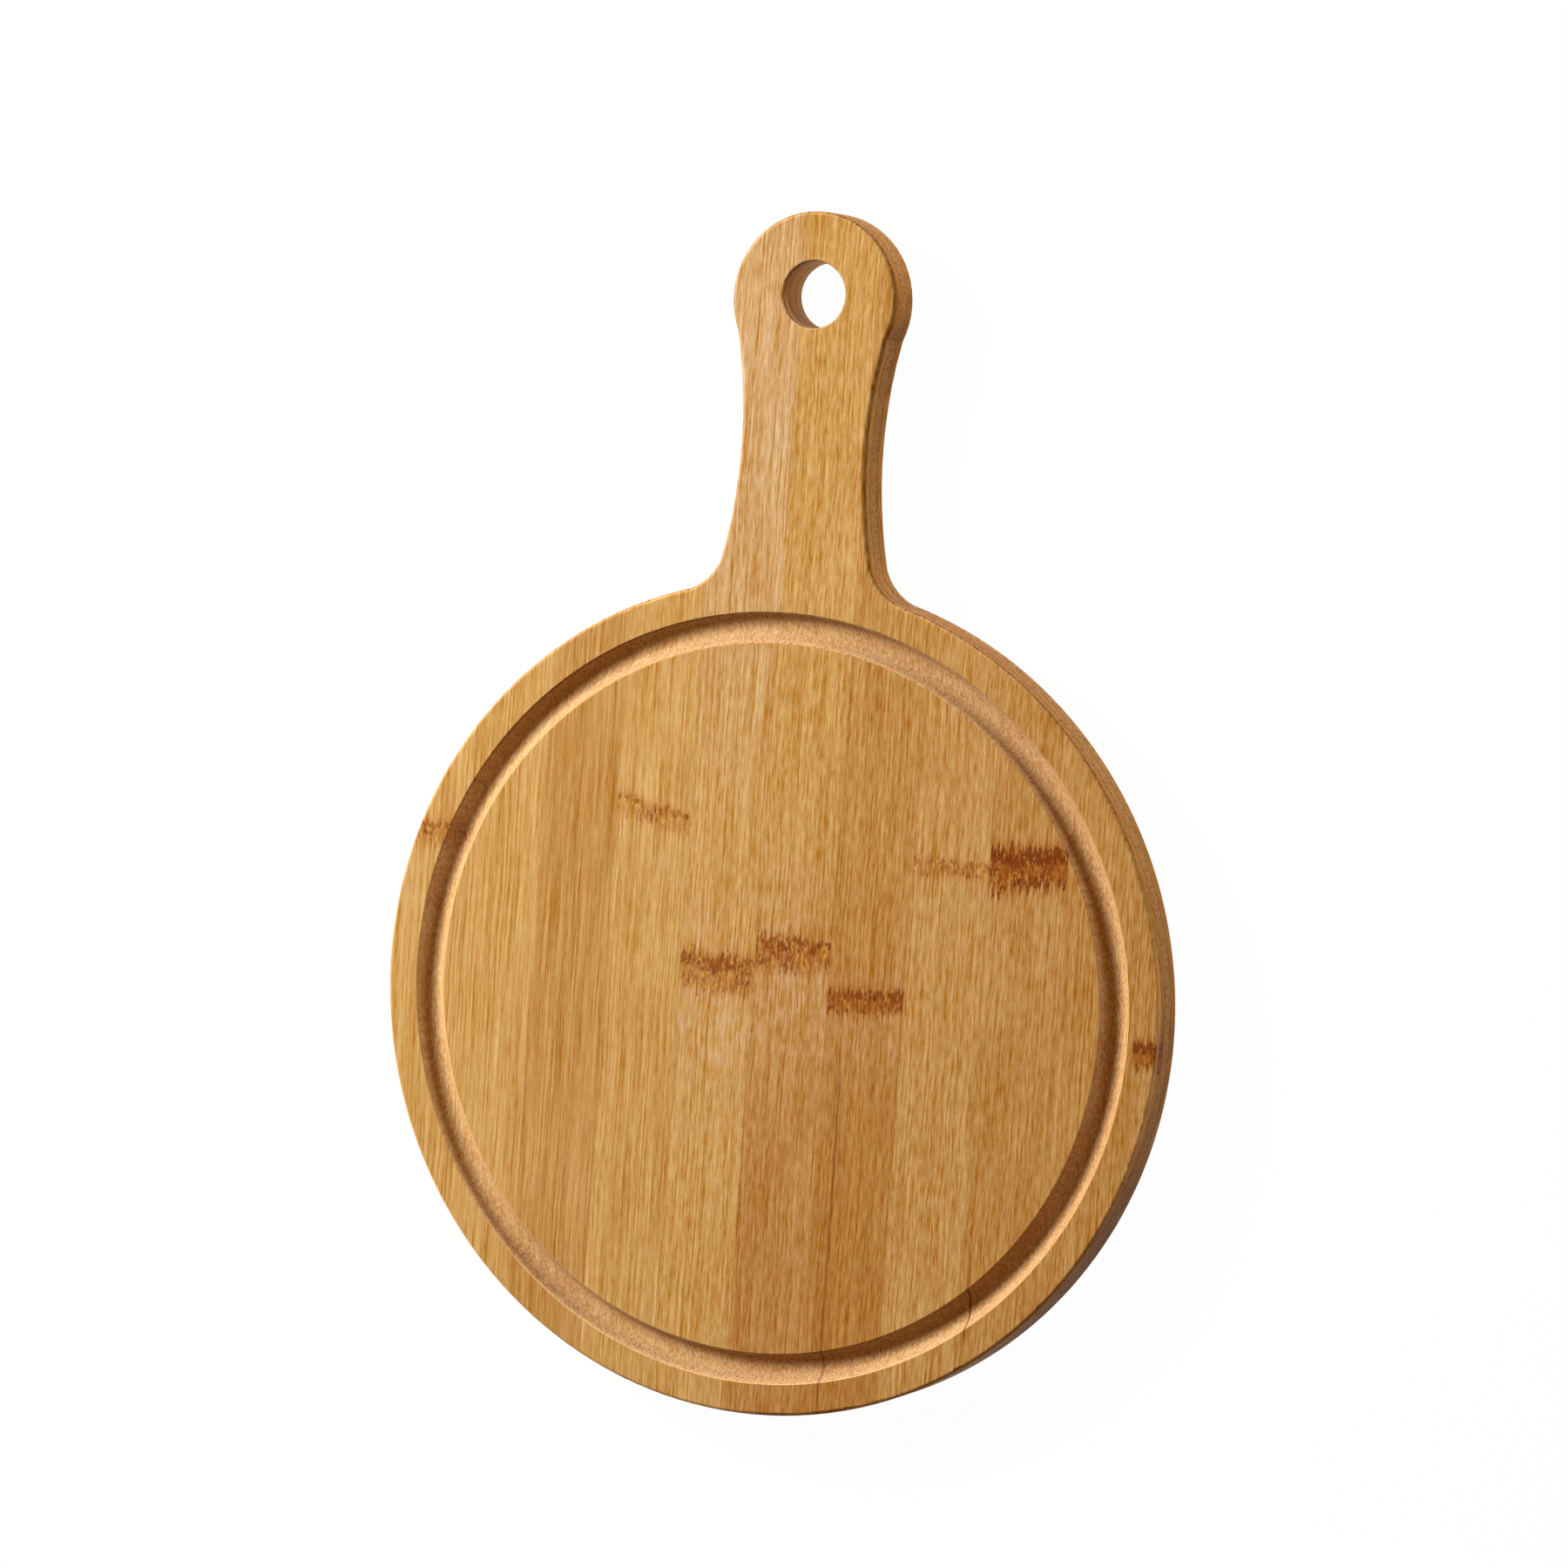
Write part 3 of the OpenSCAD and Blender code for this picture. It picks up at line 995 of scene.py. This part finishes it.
@dataclass(frozen=True)
class Board:
    """The whole board: its plies from the cutting face down.

    Attributes:
        back_z_mm: Height of the joint between the back ply and the core.
        face_z_mm: Height of the joint between the core and the face ply.
        core_strips: How many strips the core has.
    """

    back_z_mm: float = 4.6
    face_z_mm: float = 9.2
    core_strips: int = 15

    def plies(self) -> tuple[Ply, ...]:
        """Describes the plies.

        Returns:
            The face, the core and the back.
        """
        face = (
            Strip(Tone.HONEY, Tone.HONEY, 0.3, NodeScar(36.5, 4.2, 0.0, 0.55)),
            Strip(Tone.HONEY, Tone.HONEY, 0.3),
            Strip(Tone.AMBER, Tone.AMBER, 0.3),
            Strip(Tone.HONEY, Tone.HONEY, 0.35, NodeScar(48, 3.8, -0.22, 0.48)),
            Strip(Tone.HONEY, Tone.STRAW, 0.45, NodeScar(6.3, 6.2, -0.05, 0.65, 0.4), drift_mm=(20.0, 150.0)),
            Strip(Tone.CARAMEL, Tone.HONEY, 0.5, NodeScar(13.5, 5.4, 0.03, 0.7, 0.36)),
            Strip(Tone.TOFFEE, Tone.AMBER, 0.5, NodeScar(2.4, 3.8, 0.08, 0.8, 0.2),
                  Hairline(24.2, -116, -12, 0.7, 0.6)),
            Strip(Tone.WHEAT, Tone.WHEAT, 0.5, NodeScar(41, 3.2, 0.0, 0.45)),
            Strip(Tone.AMBER, Tone.AMBER, 0.5, NodeScar(43.5, 6.4, 0.12, 1.0),
                  Hairline(65.8, -91, -61, 0.5, 0.9)),
            Strip(Tone.AMBER, Tone.AMBER, 0.5),
            Strip(Tone.AMBER, Tone.AMBER, 0.5, NodeScar(-3.5, 4.6, 0.0, 0.95)),
        )
        core = tuple(Strip(Tone.SMOKED, Tone.SMOKED) for _ in range(self.core_strips))
        back = (
            Strip(Tone.AMBER, Tone.AMBER),
            Strip(Tone.WHEAT, Tone.WHEAT, 0.4, NodeScar(-22, 4.4)),
            Strip(Tone.AMBER, Tone.HONEY, 0.3),
            Strip(Tone.HONEY, Tone.WHEAT, 0.5, NodeScar(58, 4.0, 0.1, 0.7)),
            Strip(Tone.TOFFEE, Tone.AMBER),
            Strip(Tone.WHEAT, Tone.HONEY, 0.4, NodeScar(-48, 5.2, -0.08)),
            Strip(Tone.AMBER, Tone.WHEAT, 0.6),
            Strip(Tone.HONEY, Tone.AMBER, 0.3),
            Strip(Tone.TOFFEE, Tone.AMBER, 0.5, NodeScar(14, 4.6, 0.12, 0.9)),
            Strip(Tone.AMBER, Tone.WHEAT),
            Strip(Tone.WHEAT, Tone.AMBER, 0.4),
        )
        along, across = Grain.ALONG_HANDLE, Grain.ACROSS_HANDLE
        core_ends, back_ends = CutEnds("#c8a272", "#8f6840"), CutEnds("#cba778")
        return (
            Ply("face", OiledBamboo(along, (self.face_z_mm,), groove=Groove(), rim=Rim()), face),
            Ply("core", OiledBamboo(across, (self.back_z_mm, self.face_z_mm), core_ends), core),
            Ply("back", OiledBamboo(along, (self.back_z_mm,), back_ends), back),
        )

    def dress(self, nodes: dict[str, bpy.types.Object]) -> None:
        """Dresses every strip of the board.

        Args:
            nodes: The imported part's nodes.
        """
        count = sum(ply.dress(nodes) for ply in self.plies())
        LOG.info("board: %d of %d nodes dressed", count, len(nodes))


@dataclass(frozen=True)
class Lamp:
    """One square soft light, aimed at the middle of the board.

    Attributes:
        name: The lamp's name.
        azimuth_deg: Its direction round the board, from +X.
        height_deg: How high it stands.
        distance_mm: How far away it stands.
        size_mm: Its width.
        watt: Its power.
    """

    name: str
    azimuth_deg: float
    height_deg: float
    distance_mm: float
    size_mm: float
    watt: float

    def hang(self) -> None:
        """Adds the lamp to the scene."""
        azimuth, height = math.radians(self.azimuth_deg), math.radians(self.height_deg)
        level = math.cos(height)
        away = Vector((level * math.cos(azimuth), level * math.sin(azimuth), math.sin(height)))
        light = bpy.data.lights.new(self.name, "AREA")
        light.energy = self.watt
        light.size = self.size_mm * MM
        lamp = bpy.data.objects.new(self.name, light)
        lamp.location = away * self.distance_mm * MM
        lamp.rotation_euler = (-away).to_track_quat("-Z", "Y").to_euler()
        bpy.context.scene.collection.objects.link(lamp)


@dataclass(frozen=True)
class Studio:
    """Pale floor, soft light and the camera.

    Attributes:
        camera_mm: The camera's place.
        yaw_deg: Its turn about the handle's axis.
        pitch_deg: Its tilt.
        roll_deg: Its roll.
        focal_px: Its focal length in pixels of the picture.
        picture_px: The picture's width.
        sensor_mm: Width of the sensor.
        near_mm: Distance at which the camera starts to see.
        key: The main light, from the upper left.
        rim: A low light on the handle's side of the board.
        fill: Strength of the light from all round.
        fill_tone: Its colour, warm as light thrown back from wood.
        white: Colour of the background.
        floor_mm: Width of the floor.
        floor_gap_mm: How far the floor lies below the board.
        floor_tone: Colour of the light that the floor throws back, and of its shadows.
        floor_glow: Share of the floor's white that no shadow darkens for the camera.
        floor_white: Strength of that white.
    """

    camera_mm: Triple = (656.8, 166.1, 1582.0)
    yaw_deg: float = 22.68
    pitch_deg: float = -3.59
    roll_deg: float = 4.04
    focal_px: float = 7131.0
    picture_px: float = 1800.0
    sensor_mm: float = 36.0
    near_mm: float = 10.0
    key: Lamp = Lamp("key", 150.0, 29.0, 1800.0, 550.0, 53.0)
    rim: Lamp = Lamp("rim", 60.0, 7.0, 2000.0, 450.0, 20.0)
    fill: float = 0.115
    fill_tone: str = "#ffb468"
    white: str = "#ffffff"
    floor_mm: float = 8000.0
    floor_gap_mm: float = 0.3
    floor_tone: str = "#c4b8a6"
    floor_glow: float = 0.95
    floor_white: float = 1.03

    def build(self) -> None:
        """Makes the floor, the lights and the camera."""
        self._floor()
        self._light()
        self._camera()
        LOG.info("studio: floor, two lamps, fill light and camera")

    def _floor(self) -> None:
        """Lays the floor, a square just under the board."""
        half = self.floor_mm * MM / 2
        corners = np.array([(-1, -1), (1, -1), (1, 1), (-1, 1)]) * half
        corners = np.column_stack([corners, np.full(4, -self.floor_gap_mm * MM)])
        mesh = bpy.data.meshes.new("studio_floor")
        mesh.from_pydata(corners.tolist(), [], [(0, 1, 2, 3)])
        floor = bpy.data.objects.new("studio_floor", mesh)
        bpy.context.scene.collection.objects.link(floor)

        # Matt white paper gives the eye an even white, on which the board's shadow is only just seen
        material = bpy.data.materials.new("matt white paper")
        material.use_nodes = True
        material.node_tree.nodes.clear()
        graph = Graph(material.node_tree)
        glow = graph.add(Kind.TIMES, self._seen(graph), self.floor_glow)
        paper = graph.add(Kind.MATT, linear(self.floor_tone))
        white = graph.add(Kind.GLOW, self.floor_white)
        graph.add(Kind.SURFACE, graph.add(Kind.EITHER, glow, paper, white))
        mesh.materials.append(material)

    def _seen(self, graph: Graph) -> Socket:
        """Tells rays that show a background from those that only carry light.

        Args:
            graph: The nodes of a material or of the world.

        Returns:
            1 for a ray from the camera, a reflection or a refraction, and 0 for any other.
        """
        rays = graph.add(Kind.RAYS).node.outputs
        seen = graph.add(Kind.LARGER, rays["Is Camera Ray"], rays["Is Glossy Ray"])
        return graph.add(Kind.LARGER, seen, rays["Is Transmission Ray"])

    def _light(self) -> None:
        """Hangs the lamps and sets the light from all round."""
        self.key.hang()
        self.rim.hang()
        world = bpy.data.worlds.new("studio")
        bpy.context.scene.world = world
        world.use_nodes = True
        world.node_tree.nodes.clear()
        graph = Graph(world.node_tree)
        seen = self._seen(graph)
        strength = graph.add(Kind.RAMP, seen, 0.0, 1.0, self.fill, 1.0)
        tone = graph.add(Kind.BLEND, seen, linear(self.fill_tone), linear(self.white))
        graph.add(Kind.WORLD, graph.add(Kind.SKY, tone, strength))

    def _camera(self) -> None:
        """Places the camera, turned about the handle's axis, then tilted, then rolled."""
        lens = bpy.data.cameras.new("camera")
        lens.sensor_width = self.sensor_mm
        lens.lens = self.focal_px / self.picture_px * self.sensor_mm
        lens.clip_start = self.near_mm * MM
        camera = bpy.data.objects.new("camera", lens)
        turn = Matrix.Rotation(math.radians(self.yaw_deg), 4, "Y")
        turn = turn @ Matrix.Rotation(math.radians(self.pitch_deg), 4, "X")
        turn = turn @ Matrix.Rotation(math.radians(self.roll_deg), 4, "Z")
        camera.matrix_world = Matrix.Translation(Vector(self.camera_mm) * MM) @ turn
        bpy.context.scene.collection.objects.link(camera)
        bpy.context.scene.camera = camera


def main() -> None:
    """Loads the board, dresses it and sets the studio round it."""
    logging.basicConfig(level=logging.INFO, format="%(name)s: %(message)s")
    for thing in list(bpy.data.objects):
        bpy.data.objects.remove(thing)
    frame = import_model()
    bpy.context.scene.view_settings.view_transform = "Standard"
    Board().dress(frame["nodes"])
    Studio().build()


if __name__ == "__main__":
    main()
